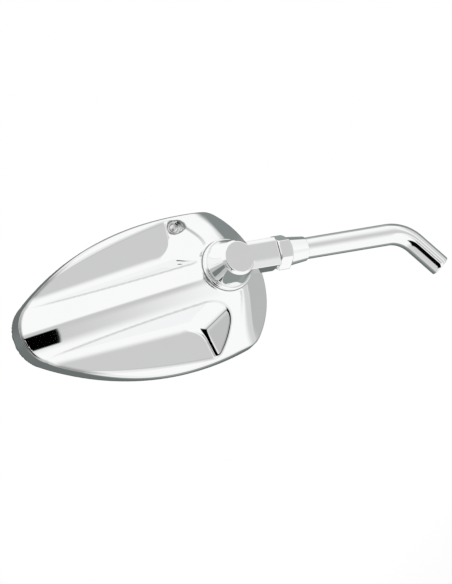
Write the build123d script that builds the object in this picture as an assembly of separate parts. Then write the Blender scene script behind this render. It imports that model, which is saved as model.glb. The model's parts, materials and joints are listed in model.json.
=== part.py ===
from build123d import *
import os
from math import cos, degrees, hypot, atan2, radians, sin, sqrt, tan

# Motorcycle mirror: a teardrop head on a pivoting knuckle, carried by a bent stem.
# All sizes are millimetres. The origin is the middle of the stem's lower end face and
# +Z runs up the stem's short leg. The stem lies in the XZ plane. The chromed back of
# the head looks along -Y and the glass looks along +Y.

# Stem: bent round rod, tapped at its lower end and threaded at its upper end
STEM_D = 12.0
STEM_SHORT_LEG = 28.7
STEM_LONG_LEG = 105.7
STEM_TURN = 51.4
STEM_BEND_R = 20.0
STEM_EDGE = 0.5
MOUNT_CORE_D = 6.8
MOUNT_DEPTH = 18.0
DRILL_POINT = 31.0
SPIGOT_D = 10.0
SPIGOT_EDGE = 1.0

# Clearance of one turned piece inside another, measured on the radius
FIT = 0.05
LOOSE = 0.3

# Jam nut: hexagon towards the knuckle, tapered collar towards the stem
JAM_FLATS = 17.0
JAM_HEX_LENGTH = 7.5
JAM_TURN = 30.0
JAM_TAPER_LENGTH = 11.3
JAM_TAPER_LARGE_D = 16.2
JAM_TAPER_SMALL_D = 13.6
JAM_EDGE = 0.9

# Knuckle: flat topped cone with an eight sided arm that takes the stem
KNUCKLE_TOP_D = 20.0
KNUCKLE_BASE_D = 26.8
KNUCKLE_SKIRT = 1.0
KNUCKLE_ABOVE_AXIS = 7.6
KNUCKLE_BELOW_AXIS = 6.6
KNUCKLE_EDGE = 1.2
ARM_REACH = 25.1
ARM_FLAT_W = 9.4
ARM_FLAT_OFFSET = -1.0
ARM_W = 16.0
ARM_TOP_BEVEL = 1.1
ARM_LOW_W = 16.8
ARM_UNDER_BEVEL = 0.9
ARM_EDGE = 0.5
SPIGOT_HOLE_FLOOR = 11.5
SPIGOT_END_GAP = 0.5
STUD_HOLE_DEPTH = 10.0
STUD_END_GAP = 0.5

# Head outline: tip, sides, corners and wide end are tangent arcs, about the head's axis
TIP_REACH = 126.8
TIP_R = 19.0
END_REACH = 29.3
END_R = 50.0
CORNER_R = 13.0
HALF_WIDTH = 42.8
WIDEST_AT = 26.0
HEAD_TILT = 147.5
PIVOT_OFF_AXIS = 4.8

# Shell: crowned back with a spine between two scoops, and a sloped end wall
WALL = 2.5
RIM_HEIGHT = 8.2
RIM_FLARE = 0.7
SPINE_HEIGHT = 25.8
SPINE_TIP_HEIGHT = 9.6
CREST_R = 900.0
CROWN_R = 58.0
END_SLOPE = 50.0
SCOOP_END = 17.9
SCOOP_END_LEAN = 8.0
SCOOP_END_SLOPE = 42.0
SCOOP_INNER = 19.3
SCOOP_TAPER = 2.0
SCOOP_SIDE_SLOPE = 27.0
SCOOP_CORNER_R = 18.0
SCOOP_FILLET = 7.0
SEAT_HEIGHT = 26.2
SEAT_R = 14.9
SPOT_MARGIN = 0.3
INNER_BOSS_R = 10.0
INNER_BOSS_DROP = 2.1

# Base ring between the shell and the knuckle
RING_D = 29.2
RING_HEIGHT = 3.0
RING_EDGE = 0.6

# Pivot parts inside the head, stacked on the stud below the seat
STUD_D = 8.0
STUD_EDGE = 0.8
BUSH_D = 12.0
BUSH_RECESS = 0.2
FRICTION_D = 17.0
FRICTION_T = 1.5
SPRING_D = 16.0
SPRING_T = 0.9
SPRING_CONE = 0.4
SPRING_COUNT = 2
THRUST_D = 17.0
THRUST_T = 1.5
LOCK_FLATS = 13.0
LOCK_HEIGHT = 6.5
LOCK_EDGE = 0.6
INSERT_D = 10.0
INSERT_HEIGHT = 2.0
STUD_PROUD = 1.5

# Glass and what holds it, measured up from the plane of the rim
SEAL_LIP_T = 0.6
SEAL_LIP_W = 3.0
SEAL_WEB = 1.4
SEAL_HEIGHT = 3.2
GLASS_T = 2.0
GLASS_EDGE = 0.4
PAD_T = 0.8
PAD_MARGIN = 4.0
CARRIER_T = 1.7
SLIP = 0.05

# Screw that holds the carrier, in a round pocket in the end wall of one scoop
SCREW_AT = 13.0
SCREW_SIDE = -35.5
SCREW_D = 3.0
SCREW_HEAD_D = 5.7
SCREW_HEAD_H = 1.65
SCREW_SOCKET_FLATS = 2.0
SCREW_SOCKET_DEPTH = 1.0
SCREW_POCKET_D = 7.4
SCREW_SEAT_DROP = 0.6
CARRIER_BOSS_D = 7.0

# Heights of the stack, from the plane of the rim
RING_TOP = SEAT_HEIGHT + RING_HEIGHT
AXIS_HEIGHT = RING_TOP + KNUCKLE_BELOW_AXIS
KNUCKLE_TOP = AXIS_HEIGHT + KNUCKLE_ABOVE_AXIS
BOSS_BOTTOM = SPINE_HEIGHT - WALL - INNER_BOSS_DROP
SPRING_TOP = BOSS_BOTTOM - FRICTION_T
SPRING_PITCH = SPRING_T + SPRING_CONE
THRUST_TOP = SPRING_TOP - SPRING_COUNT * SPRING_PITCH
LOCK_TOP = THRUST_TOP - THRUST_T
LOCK_BOTTOM = LOCK_TOP - LOCK_HEIGHT
STUD_BOTTOM = LOCK_BOTTOM - STUD_PROUD
GLASS_BOTTOM = SEAL_LIP_T + SLIP
PAD_BOTTOM = GLASS_BOTTOM + GLASS_T
CARRIER_BOTTOM = PAD_BOTTOM + PAD_T
CARRIER_TOP = CARRIER_BOTTOM + CARRIER_T
SCOOP_CEILING = RIM_HEIGHT - WALL
RECESS_TOP = CARRIER_TOP + LOOSE
SCREW_SEAT_TOP = RIM_HEIGHT - SCREW_SEAT_DROP

# Insets from the head outline
SEAL_OUTER = WALL + SLIP
GLASS_INSET = SEAL_OUTER + SEAL_WEB + SLIP
PAD_INSET = GLASS_INSET + PAD_MARGIN
CARRIER_INSET = WALL + LOOSE

# Lines of the stem and the frame of the head
LONG_LEG = Vector(-sin(radians(STEM_TURN)), 0, cos(radians(STEM_TURN)))
BEND = Vector(0, 0, STEM_SHORT_LEG)
PIVOT = BEND + LONG_LEG * STEM_LONG_LEG
BACKWARD = Vector(0, -1, 0)
TIPWARD = Vector(cos(radians(HEAD_TILT)), 0, sin(radians(HEAD_TILT)))
RIM_PLANE_AT_PIVOT = PIVOT - BACKWARD * AXIS_HEIGHT
PIVOT_FRAME = Plane(RIM_PLANE_AT_PIVOT, x_dir=TIPWARD, z_dir=BACKWARD)
HEAD_FRAME = Plane(PIVOT_FRAME.from_local_coords((0, PIVOT_OFF_AXIS, 0)), x_dir=TIPWARD, z_dir=BACKWARD)
ARM_FRAME = Plane(PIVOT, x_dir=BACKWARD, z_dir=-LONG_LEG)
JAM_START = ARM_REACH
JAM_END = JAM_START + JAM_HEX_LENGTH + JAM_TAPER_LENGTH

# Larger than the head, for cutting solids
BEYOND = 2 * (TIP_REACH + END_REACH)


def unit(x, y):
    """Direction of length one."""
    length = hypot(x, y)
    return x / length, y / length


def circles_meet(first, first_r, second, second_r):
    """Where two circles cross, on the left of the line from the first to the second."""
    dx, dy = second[0] - first[0], second[1] - first[1]
    gap = hypot(dx, dy)
    along = (gap**2 + first_r**2 - second_r**2) / (2 * gap)
    across = sqrt(first_r**2 - along**2)
    ux, uy = unit(dx, dy)
    return first[0] + ux * along - uy * across, first[1] + uy * along + ux * across


def round_edge(centre, radius, start, end):
    """Shorter arc about a centre from one point to another."""
    middle = unit(start[0] + end[0] - 2 * centre[0], start[1] + end[1] - 2 * centre[1])
    via = (centre[0] + middle[0] * radius, centre[1] + middle[1] * radius)
    return ThreePointArc(start, via, end)


def mirrored(point):
    """The same point on the other side of the head's axis."""
    return point[0], -point[1]


def outline(inset):
    """Teardrop face, drawn this far inside the rim's edge."""
    tip = (TIP_REACH - TIP_R, 0)
    run = tip[0] - WIDEST_AT
    side_r = (run**2 + HALF_WIDTH**2 - TIP_R**2) / (2 * (HALF_WIDTH - TIP_R))
    side = (WIDEST_AT, HALF_WIDTH - side_r)
    end = (END_R - END_REACH, 0)
    corner = circles_meet(side, side_r - CORNER_R, end, END_R - CORNER_R)

    def touch(big, small, small_r):
        ux, uy = unit(small[0] - big[0], small[1] - big[1])
        return small[0] + ux * (small_r - inset), small[1] + uy * (small_r - inset)

    at_tip = touch(side, tip, TIP_R)
    at_side = touch(side, corner, CORNER_R)
    at_end = touch(end, corner, CORNER_R)
    edges = [
        round_edge(tip, TIP_R - inset, mirrored(at_tip), at_tip),
        round_edge(side, side_r - inset, at_tip, at_side),
        round_edge(corner, CORNER_R - inset, at_side, at_end),
        round_edge(end, END_R - inset, at_end, mirrored(at_end)),
        round_edge(mirrored(corner), CORNER_R - inset, mirrored(at_end), mirrored(at_side)),
        round_edge(mirrored(side), side_r - inset, mirrored(at_side), mirrored(at_tip)),
    ]
    return make_face(edges)


def slab(inset, bottom, top):
    """Plate with the head's outline between two heights."""
    return extrude(Pos(0, 0, bottom) * outline(inset), amount=top - bottom)


def turned(*points):
    """Solid turned about the Z axis from radius and height pairs."""
    profile = make_face(Polyline(*[(r, 0, z) for r, z in points], close=True))
    return revolve(profile, Axis.Z)


def washer(outer_r, inner_r, bottom, top):
    """Flat ring about the Z axis."""
    return turned((inner_r, bottom), (outer_r, bottom), (outer_r, top), (inner_r, top))


def hexagon(flats, bottom, top, edge):
    """Hexagonal prism with its corners turned off at both ends."""
    corner_r = flats / sqrt(3)
    prism = Pos(0, 0, bottom) * extrude(RegularPolygon(corner_r, 6), amount=top - bottom)
    rise = edge * tan(radians(30))
    barrel = turned(
        (0, bottom),
        (corner_r - edge, bottom),
        (corner_r, bottom + rise),
        (corner_r, top - rise),
        (corner_r - edge, top),
        (0, top),
    )
    return prism & barrel


def crown(inset):
    """Block under the crowned back, whose crest falls in an arc from pivot to tip."""
    drop = SPINE_HEIGHT - SPINE_TIP_HEIGHT
    half = hypot(TIP_REACH, drop) / 2
    depth = sqrt(CREST_R**2 - half**2)
    ux, uz = unit(-drop, -TIP_REACH)
    centre_x = TIP_REACH / 2 + ux * depth
    centre_z = SPINE_HEIGHT - drop / 2 + uz * depth
    top = centre_z + CREST_R - inset
    radius = CROWN_R - inset
    reach = radius * cos(radians(25))
    shoulder = top - radius * (1 - sin(radians(25)))
    floor = top - CROWN_R
    section = make_face(
        [
            ThreePointArc((centre_x, -reach, shoulder), (centre_x, 0, top), (centre_x, reach, shoulder)),
            Polyline(
                (centre_x, reach, shoulder),
                (centre_x, reach, floor),
                (centre_x, -reach, floor),
                (centre_x, -reach, shoulder),
            ),
        ]
    )
    sweep_angle = degrees(atan2(BEYOND, CREST_R))
    return revolve(section, Axis((centre_x, 0, centre_z), (0, 1, 0)), sweep_angle)


def end_waste(inset):
    """What lies outside the sloped end wall, which is part of a cone."""
    lean = tan(radians(END_SLOPE))
    shift = inset / cos(radians(END_SLOPE))
    centre_x = END_R - END_REACH
    foot_r = END_R - shift + RIM_HEIGHT * lean
    apex = foot_r / lean
    cone = Pos(centre_x, 0, 0) * turned((0, 0), (foot_r, 0), (0, apex))
    block = Pos(centre_x, 0, 0) * Box(
        BEYOND, 2 * BEYOND, BEYOND, align=(Align.MAX, Align.CENTER, Align.MIN)
    )
    return block - cone


def scoop(side, inset):
    """Cutting solid of one scoop: flat floor, two sloped walls and the round corner between them."""
    lean = radians(SCOOP_END_LEAN)
    taper = radians(SCOOP_TAPER)
    end_slope = radians(SCOOP_END_SLOPE)
    side_slope = radians(SCOOP_SIDE_SLOPE)
    shared = sin(lean + taper)

    def corner_moves(end_out, side_out):
        end_part = (end_out - shared * side_out) / (1 - shared**2)
        side_part = (side_out - shared * end_out) / (1 - shared**2)
        move_x = -end_part * cos(lean) - side_part * sin(taper)
        move_y = -end_part * sin(lean) - side_part * cos(taper)
        return Vector(move_x, move_y, 0)

    end_out = inset * (1 - sin(end_slope)) / cos(end_slope)
    side_out = inset * (1 - sin(side_slope)) / cos(side_slope)
    foot = Vector(SCOOP_END, SCOOP_INNER, RIM_HEIGHT - inset) + corner_moves(end_out, side_out)
    rise = corner_moves(tan(end_slope), tan(side_slope)) + Vector(0, 0, 1)
    end_line = Vector(-sin(lean), cos(lean), 0) * BEYOND
    side_line = Vector(cos(taper), -sin(taper), 0) * BEYOND
    floor = make_face(
        Polyline(foot, foot + side_line, foot + side_line + end_line, foot + end_line, close=True)
    )
    block = extrude(floor, amount=SPINE_HEIGHT * rise.length, dir=rise)
    corner = block.edges().sort_by_distance(foot + rise * SPINE_HEIGHT / 2)[0]
    block = fillet(corner, SCOOP_CORNER_R + inset)
    near = block.edges().group_by(Axis.Z)[0].sort_by_distance(foot)[:3]
    block = fillet(near, SCOOP_FILLET + inset)
    return block if side > 0 else mirror(block, Plane.XZ)


def flared_blank():
    """Block with the head's outline, whose rim widens towards the glass."""
    lean = degrees(atan2(RIM_FLARE, RIM_HEIGHT))
    rim = extrude(outline(-RIM_FLARE), amount=RIM_HEIGHT, taper=lean)
    return rim + slab(0, RIM_HEIGHT, KNUCKLE_TOP)


def shell_form(blank, inset):
    """Shape of the back cut from a block, this far below the back's surface."""
    form = blank & crown(inset)
    form -= end_waste(inset)
    for side in (1, -1):
        form -= scoop(side, inset)
    return form


def mirror_shell():
    """Hollow cast shell with the pivot seat, its inner boss and the screw's pocket."""
    pivot = Pos(0, -PIVOT_OFF_AXIS, 0)
    screw = Pos(SCREW_AT, SCREW_SIDE, 0)
    pocket_r = SCREW_POCKET_D / 2
    hollow = shell_form(slab(WALL, 0, KNUCKLE_TOP), WALL)
    hollow -= screw * washer(pocket_r + WALL, 0, SCOOP_CEILING, KNUCKLE_TOP)
    body = shell_form(flared_blank(), 0)
    body -= screw * washer(pocket_r, 0, SCREW_SEAT_TOP, KNUCKLE_TOP)
    body -= pivot * washer(SEAT_R + SPOT_MARGIN, 0, SEAT_HEIGHT, KNUCKLE_TOP)
    body += pivot * washer(SEAT_R, 0, RIM_HEIGHT, SEAT_HEIGHT)
    body -= hollow
    body -= slab(WALL, 0, RECESS_TOP)
    body += pivot * washer(INNER_BOSS_R, 0, BOSS_BOTTOM, SEAT_HEIGHT)
    body -= pivot * washer(BUSH_D / 2 + SLIP, 0, 0, KNUCKLE_TOP)
    body -= screw * washer(SCREW_D / 2 + LOOSE, 0, 0, KNUCKLE_TOP)
    return HEAD_FRAME * body


def base_ring():
    """Ring between the shell's seat and the knuckle."""
    inner = BUSH_D / 2 + SLIP
    outer = RING_D / 2
    return PIVOT_FRAME * turned(
        (inner, SEAT_HEIGHT),
        (outer, SEAT_HEIGHT),
        (outer, RING_TOP - RING_EDGE),
        (outer - RING_EDGE, RING_TOP),
        (inner, RING_TOP),
    )


def pivot_bush():
    """Bearing bush in the shell and the ring, round the stud."""
    return PIVOT_FRAME * washer(BUSH_D / 2, STUD_D / 2 + FIT, BOSS_BOTTOM, RING_TOP - BUSH_RECESS)


def pivot_stud():
    """Stud screwed up into the knuckle, with both ends bevelled."""
    radius = STUD_D / 2
    top = RING_TOP + STUD_HOLE_DEPTH - STUD_END_GAP
    return PIVOT_FRAME * turned(
        (0, STUD_BOTTOM),
        (radius - STUD_EDGE, STUD_BOTTOM),
        (radius, STUD_BOTTOM + STUD_EDGE),
        (radius, top - STUD_EDGE),
        (radius - STUD_EDGE, top),
        (0, top),
    )


def friction_washer():
    """Plain washer under the shell's inner boss."""
    return PIVOT_FRAME * washer(FRICTION_D / 2, STUD_D / 2 + LOOSE, SPRING_TOP, BOSS_BOTTOM)


def disc_springs():
    """Coned spring washers, stacked edge to edge."""
    inner = STUD_D / 2 + FIT
    outer = SPRING_D / 2
    springs = []
    for index in range(SPRING_COUNT):
        bottom = THRUST_TOP + index * SPRING_PITCH
        inner_up, outer_up = (0, SPRING_CONE) if index % 2 else (SPRING_CONE, 0)
        springs.append(
            PIVOT_FRAME
            * turned(
                (inner, bottom + inner_up),
                (outer, bottom + outer_up),
                (outer, bottom + outer_up + SPRING_T),
                (inner, bottom + inner_up + SPRING_T),
            )
        )
    return Compound(children=springs)


def thrust_washer():
    """Hard washer between the springs and the lock nut."""
    return PIVOT_FRAME * washer(THRUST_D / 2, STUD_D / 2 + FIT, LOCK_TOP, THRUST_TOP)


def lock_nut():
    """Hexagon nut with a recess for its locking insert."""
    nut = hexagon(LOCK_FLATS, LOCK_BOTTOM, LOCK_TOP, LOCK_EDGE)
    nut -= washer(STUD_D / 2 + FIT, 0, LOCK_BOTTOM, LOCK_TOP)
    nut -= washer(INSERT_D / 2, 0, LOCK_BOTTOM, LOCK_BOTTOM + INSERT_HEIGHT)
    return PIVOT_FRAME * nut


def lock_insert():
    """Plastic ring in the lock nut that grips the stud."""
    return PIVOT_FRAME * washer(
        INSERT_D / 2 - SLIP, STUD_D / 2 + SLIP, LOCK_BOTTOM, LOCK_BOTTOM + INSERT_HEIGHT
    )


def knuckle():
    """Flat topped cone with its arm, bored for the stem and the stud."""
    top_r = KNUCKLE_TOP_D / 2
    base_r = KNUCKLE_BASE_D / 2
    body = PIVOT_FRAME * turned(
        (0, RING_TOP),
        (base_r, RING_TOP),
        (base_r, RING_TOP + KNUCKLE_SKIRT),
        (top_r, KNUCKLE_TOP - KNUCKLE_EDGE),
        (top_r - KNUCKLE_EDGE, KNUCKLE_TOP),
        (0, KNUCKLE_TOP),
    )
    flat = ARM_FLAT_W / 2
    half = ARM_W / 2
    low_half = ARM_LOW_W / 2
    shoulder = KNUCKLE_ABOVE_AXIS - ARM_TOP_BEVEL
    under = -(KNUCKLE_BELOW_AXIS - LOOSE)
    section = make_face(
        Polyline(
            (KNUCKLE_ABOVE_AXIS, ARM_FLAT_OFFSET - flat),
            (KNUCKLE_ABOVE_AXIS, ARM_FLAT_OFFSET + flat),
            (shoulder, half),
            (under + ARM_UNDER_BEVEL, low_half),
            (under, low_half - ARM_UNDER_BEVEL),
            (under, ARM_UNDER_BEVEL - low_half),
            (under + ARM_UNDER_BEVEL, -low_half),
            (shoulder, -half),
            close=True,
        )
    )
    arm = extrude(section, amount=ARM_REACH)
    arm = chamfer(arm.edges().group_by(Axis.Z)[-1], ARM_EDGE)
    body += ARM_FRAME * arm
    body -= ARM_FRAME * washer(SPIGOT_D / 2 + FIT, 0, SPIGOT_HOLE_FLOOR, ARM_REACH)
    body -= PIVOT_FRAME * washer(STUD_D / 2 + FIT, 0, RING_TOP, RING_TOP + STUD_HOLE_DEPTH)
    return body


def jam_nut():
    """Hexagon with a tapered collar, run up against the knuckle's arm."""
    hex_end = JAM_START + JAM_HEX_LENGTH
    nut = Rot(0, 0, JAM_TURN) * hexagon(JAM_FLATS, JAM_START, hex_end, JAM_EDGE)
    nut += turned(
        (0, hex_end - JAM_EDGE),
        (JAM_TAPER_LARGE_D / 2, hex_end - JAM_EDGE),
        (JAM_TAPER_LARGE_D / 2, hex_end),
        (JAM_TAPER_SMALL_D / 2, JAM_END),
        (0, JAM_END),
    )
    nut -= washer(SPIGOT_D / 2 + FIT, 0, JAM_START, JAM_END)
    return ARM_FRAME * nut


def stem():
    """Bent rod with a spigot for the knuckle and a tapped hole in its lower end."""
    shoulder = PIVOT - LONG_LEG * JAM_END
    path = FilletPolyline((0, 0, 0), BEND, shoulder, radius=STEM_BEND_R)
    rod = sweep(Circle(STEM_D / 2), path=path)
    rod = chamfer(rod.edges().filter_by(GeomType.CIRCLE).group_by(Axis.Z)[0], STEM_EDGE)
    spigot_end = SPIGOT_HOLE_FLOOR + SPIGOT_END_GAP
    radius = SPIGOT_D / 2
    rod += ARM_FRAME * turned(
        (0, spigot_end),
        (radius - SPIGOT_EDGE, spigot_end),
        (radius, spigot_end + SPIGOT_EDGE),
        (radius, JAM_END),
        (0, JAM_END),
    )
    core = MOUNT_CORE_D / 2
    rod -= turned(
        (0, 0),
        (core, 0),
        (core, MOUNT_DEPTH),
        (0, MOUNT_DEPTH + core * tan(radians(DRILL_POINT))),
    )
    return rod


def glass_seal():
    """Rubber ring round the glass, with a lip over its front edge."""
    ring = slab(SEAL_OUTER, 0, SEAL_HEIGHT)
    ring -= slab(SEAL_OUTER + SEAL_WEB, SEAL_LIP_T, SEAL_HEIGHT)
    ring -= slab(SEAL_OUTER + SEAL_LIP_W, 0, SEAL_HEIGHT)
    return HEAD_FRAME * ring


def mirror_glass():
    """Flat silvered glass with its edges ground back to 45 degrees."""
    front = GLASS_BOTTOM + GLASS_EDGE
    back = PAD_BOTTOM - GLASS_EDGE
    glass = slab(GLASS_INSET, front, back)
    glass += extrude(Pos(0, 0, back) * outline(GLASS_INSET), amount=GLASS_EDGE, taper=45)
    glass += extrude(
        Pos(0, 0, front) * outline(GLASS_INSET), amount=GLASS_EDGE, dir=(0, 0, -1), taper=45
    )
    return HEAD_FRAME * glass


def glass_pad():
    """Foam pad that sticks the glass to its carrier."""
    return HEAD_FRAME * slab(PAD_INSET, PAD_BOTTOM, CARRIER_BOTTOM)


def carrier_plate():
    """Moulded plate behind the glass, with a boss for the screw."""
    screw = Pos(SCREW_AT, SCREW_SIDE, 0)
    plate = slab(CARRIER_INSET, CARRIER_BOTTOM, CARRIER_TOP)
    plate += screw * washer(CARRIER_BOSS_D / 2, 0, CARRIER_TOP, SCOOP_CEILING)
    plate -= screw * washer(SCREW_D / 2 + SLIP, 0, CARRIER_BOTTOM, SCOOP_CEILING)
    return HEAD_FRAME * plate


def carrier_screw():
    """Button headed screw with a hexagon socket."""
    head_r = SCREW_HEAD_D / 2
    shank_r = SCREW_D / 2
    crest = SCREW_SEAT_TOP + SCREW_HEAD_H
    dome_r = (head_r**2 + SCREW_HEAD_H**2) / (2 * SCREW_HEAD_H)
    dome = Pos(0, 0, crest - dome_r) * Sphere(dome_r)
    head = dome & washer(head_r, 0, SCREW_SEAT_TOP, crest)
    shank = washer(shank_r, 0, CARRIER_BOTTOM + LOOSE, SCREW_SEAT_TOP)
    socket = Pos(0, 0, crest - SCREW_SOCKET_DEPTH) * extrude(
        RegularPolygon(SCREW_SOCKET_FLATS / sqrt(3), 6), amount=SCREW_SOCKET_DEPTH
    )
    return HEAD_FRAME * Pos(SCREW_AT, SCREW_SIDE, 0) * (head + shank - socket)


PIECES = {
    "stem": stem,
    "jam_nut": jam_nut,
    "knuckle": knuckle,
    "pivot_stud": pivot_stud,
    "lock_nut": lock_nut,
    "lock_insert": lock_insert,
    "thrust_washer": thrust_washer,
    "disc_springs": disc_springs,
    "friction_washer": friction_washer,
    "pivot_bush": pivot_bush,
    "base_ring": base_ring,
    "mirror_shell": mirror_shell,
    "carrier_plate": carrier_plate,
    "carrier_screw": carrier_screw,
    "glass_pad": glass_pad,
    "mirror_glass": mirror_glass,
    "glass_seal": glass_seal,
}

os.makedirs("parts", exist_ok=True)
for name, make in PIECES.items():
    export_step(make(), f"parts/{name}.step")
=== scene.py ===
"""Looks of a chromed motorcycle mirror: teardrop head, knuckle, jam nut and bent stem.

Sizes are millimetres in each piece's own frame. A Placement carries them into the shared frame,
which is in metres. Curved metal is drawn over distance functions, so that every edge has its
rounding and every reflection follows the true surface.
"""

import json
import logging
import math
from dataclasses import dataclass
from enum import Enum
from typing import Callable, ClassVar

import bpy
import numpy as np
from mathutils import Matrix, Vector

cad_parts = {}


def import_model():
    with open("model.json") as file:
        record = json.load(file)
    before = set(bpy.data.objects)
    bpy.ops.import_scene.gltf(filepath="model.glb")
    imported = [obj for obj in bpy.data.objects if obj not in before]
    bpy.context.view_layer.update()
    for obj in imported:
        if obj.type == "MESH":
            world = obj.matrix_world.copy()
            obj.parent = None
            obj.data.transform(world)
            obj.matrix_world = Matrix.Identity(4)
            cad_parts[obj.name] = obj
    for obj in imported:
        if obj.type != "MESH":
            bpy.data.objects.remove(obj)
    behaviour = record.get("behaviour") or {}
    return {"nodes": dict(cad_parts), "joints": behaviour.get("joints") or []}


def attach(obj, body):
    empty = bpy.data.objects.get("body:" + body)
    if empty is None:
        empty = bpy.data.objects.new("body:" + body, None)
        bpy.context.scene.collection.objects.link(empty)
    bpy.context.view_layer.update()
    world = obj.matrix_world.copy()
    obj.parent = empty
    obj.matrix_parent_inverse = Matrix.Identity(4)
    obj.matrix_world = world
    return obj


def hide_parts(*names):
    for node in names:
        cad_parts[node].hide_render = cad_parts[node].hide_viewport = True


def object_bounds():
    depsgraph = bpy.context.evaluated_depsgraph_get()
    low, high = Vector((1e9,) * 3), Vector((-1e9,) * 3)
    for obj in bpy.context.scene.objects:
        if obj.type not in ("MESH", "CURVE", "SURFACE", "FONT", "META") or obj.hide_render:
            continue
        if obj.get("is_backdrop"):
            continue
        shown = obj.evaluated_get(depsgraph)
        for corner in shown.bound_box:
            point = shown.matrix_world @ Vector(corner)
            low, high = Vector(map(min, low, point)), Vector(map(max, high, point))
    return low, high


MM = 0.001
RUNNING_GAP = 0.03
Form = Callable[[np.ndarray], np.ndarray]
Point = tuple[float, float, float]
Colour = tuple[float, float, float]
Span = tuple[float, float]
Value = float | bpy.types.NodeSocket
log = logging.getLogger("mirror")


class Body(Enum):
    """Bodies of the part that pieces ride on."""

    STEM = "stem"
    ARM = "arm"
    HEAD = "head"


class Ray(Enum):
    """Kinds of ray that the surroundings answer differently."""

    CAMERA = "Is Camera Ray"
    GLOSSY = "Is Glossy Ray"
    TRANSMISSION = "Is Transmission Ray"


# Frames


@dataclass(frozen=True)
class Placement:
    """Stand of a piece's own frame in the shared frame: origin in metres and three unit axes."""

    origin: np.ndarray
    axes: np.ndarray

    def points(self, local: np.ndarray) -> np.ndarray:
        """Carries millimetre points into the shared frame."""
        return self.origin + local @ self.axes * MM

    def directions(self, local: np.ndarray) -> np.ndarray:
        """Carries directions into the shared frame."""
        return local @ self.axes

    def moved(self, local: Point) -> "Placement":
        """The same axes about another origin, given in millimetres."""
        return Placement(self.points(np.array(local)), self.axes)


@dataclass(frozen=True)
class Layout:
    """Frames of the head, the pivot and the arm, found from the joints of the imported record."""

    head_tilt: float = 147.5
    axis_height: float = 35.8
    pivot_off_axis: float = 4.8

    def frames(self, joints: list[dict]) -> dict[str, Placement]:
        """Works out the frames.

        Args:
            joints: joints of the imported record.

        Returns:
            Placements named pivot, head and arm.
        """
        known = {joint["name"]: joint for joint in joints}
        pivot = np.array(known["arm_twist"]["pos_m"], float)
        backward = np.array(known["head_swivel"]["axis"], float)
        to_stem = -np.array(known["arm_twist"]["axis"], float)
        tilt = math.radians(self.head_tilt)
        tipward = np.array((math.cos(tilt), 0.0, math.sin(tilt)))
        head_axes = np.array((tipward, np.cross(backward, tipward), backward))
        at_rim = Placement(pivot - backward * self.axis_height * MM, head_axes)
        arm_axes = np.array((backward, np.cross(to_stem, backward), to_stem))
        return {
            "pivot": at_rim,
            "head": at_rim.moved((0.0, self.pivot_off_axis, 0.0)),
            "arm": Placement(pivot, arm_axes),
        }


# Distance functions


def round_max(first: np.ndarray, second: np.ndarray, radius: float) -> np.ndarray:
    """Distance to what two solids share, with the edge between them rounded."""
    inner = np.minimum(np.maximum(first, second), -radius)
    return inner + np.hypot(np.maximum(first + radius, 0), np.maximum(second + radius, 0))


def round_min(first: np.ndarray, second: np.ndarray, radius: float) -> np.ndarray:
    """Distance to two solids together, with a fillet where they meet."""
    return -round_max(-first, -second, radius)


def rounded_corner(
    first: np.ndarray, second: np.ndarray, radius: float, cosine: float | np.ndarray
) -> np.ndarray:
    """Distance to the corner of two slanted faces, with an exact round.

    Args:
        first: distance from the first face.
        second: distance from the second face.
        radius: radius of the round.
        cosine: cosine between the two faces' normals.

    Returns:
        Distance to the rounded corner, negative inside.
    """
    u, v = first + radius, second + radius
    in_round = (u > cosine * v) & (v > cosine * u)
    reach = np.sqrt(np.maximum(u * u + v * v - 2 * u * v * cosine, 0) / (1 - cosine**2))
    return np.where(in_round, reach, np.maximum(u, v)) - radius


def slant(along: np.ndarray, across: np.ndarray, start: Span, end: Span) -> np.ndarray:
    """Distance outside the line from start to end, with the inside on its left."""
    run, rise = end[0] - start[0], end[1] - start[1]
    return ((along - start[0]) * rise - (across - start[1]) * run) / math.hypot(run, rise)


def across_flats(x: np.ndarray, y: np.ndarray, flats: float) -> list[np.ndarray]:
    """Distances outside the three pairs of flats of a hexagon.

    Args:
        x: distance square to the first pair.
        y: distance along it.
        flats: width across flats.

    Returns:
        One distance for each pair.
    """
    turns = [math.pi / 3 * pair for pair in range(3)]
    return [np.abs(x * math.cos(turn) + y * math.sin(turn)) - flats / 2 for turn in turns]


# Meshes


def smooth_piece(name: str, vertices: np.ndarray, faces: np.ndarray) -> bpy.types.Object:
    """Makes a smooth shaded object.

    Args:
        name: name of the piece.
        vertices: its vertices in the shared frame.
        faces: its faces of four vertices.

    Returns:
        The new object in the scene.
    """
    mesh = bpy.data.meshes.new(name)
    mesh.from_pydata(vertices.tolist(), [], faces.tolist())
    mesh.polygons.foreach_set("use_smooth", np.ones(len(faces), bool))
    piece = bpy.data.objects.new(name, mesh)
    bpy.context.scene.collection.objects.link(piece)
    return piece


@dataclass(frozen=True)
class Skin:
    """Mesh in a piece's own millimetres, with the true normal at each vertex."""

    vertices: np.ndarray
    faces: np.ndarray
    normals: np.ndarray

    def drawn(self, name: str, place: Placement) -> bpy.types.Object:
        """Makes the Blender object.

        Args:
            name: name of the piece.
            place: frame that the skin is drawn in.

        Returns:
            The new object, smooth shaded with its own normals.
        """
        piece = smooth_piece(name, place.points(self.vertices), self.faces)
        piece.data.normals_split_custom_set_from_vertices(place.directions(self.normals).tolist())
        return piece


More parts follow.
